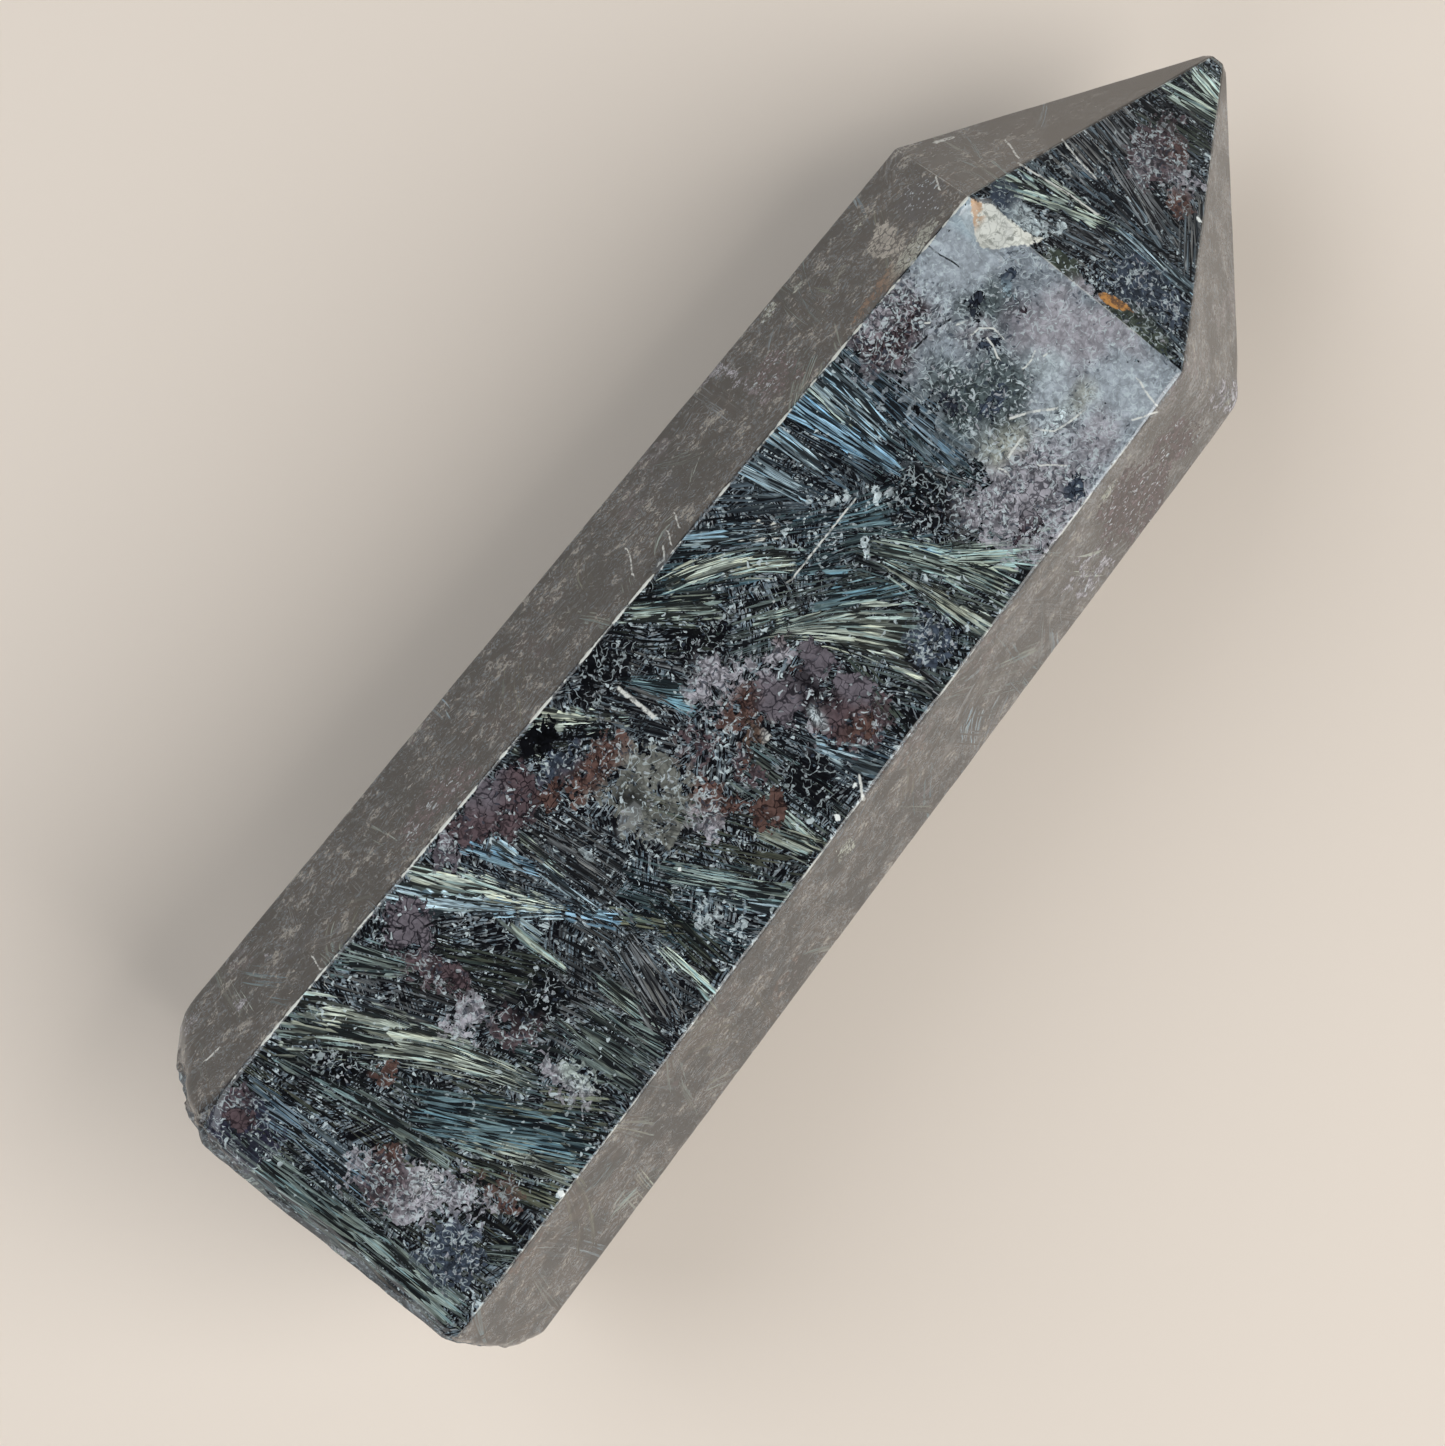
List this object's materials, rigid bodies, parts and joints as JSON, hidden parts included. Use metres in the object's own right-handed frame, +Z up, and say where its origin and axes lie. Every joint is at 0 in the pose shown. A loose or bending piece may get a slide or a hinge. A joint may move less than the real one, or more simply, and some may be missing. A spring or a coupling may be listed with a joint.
{
  "type": "arfvedsonite point",
  "caption": "Polished hexagonal point of dark stone full of blue-grey needles, with a flat cut base and a faceted tip, lying on one long facet as an ornament.",
  "frame": {"origin": "on the level of the bottom facet, under the middle of the tower's box", "axes": "+X runs along the tower from the cut base to the tip, +Y is to the left when looking at the tip from above, +Z is up, away from the facet that it lies on"},
  "size_m": [0.101, 0.0336, 0.028],
  "materials": {
    "polished_stone": "polished black stone with silky blue-grey needles, red-brown and purple grains and a milky quartz zone"
  },
  "bodies": {
    "root": {"stone_point": "polished_stone"}
  },
  "joints": []
}
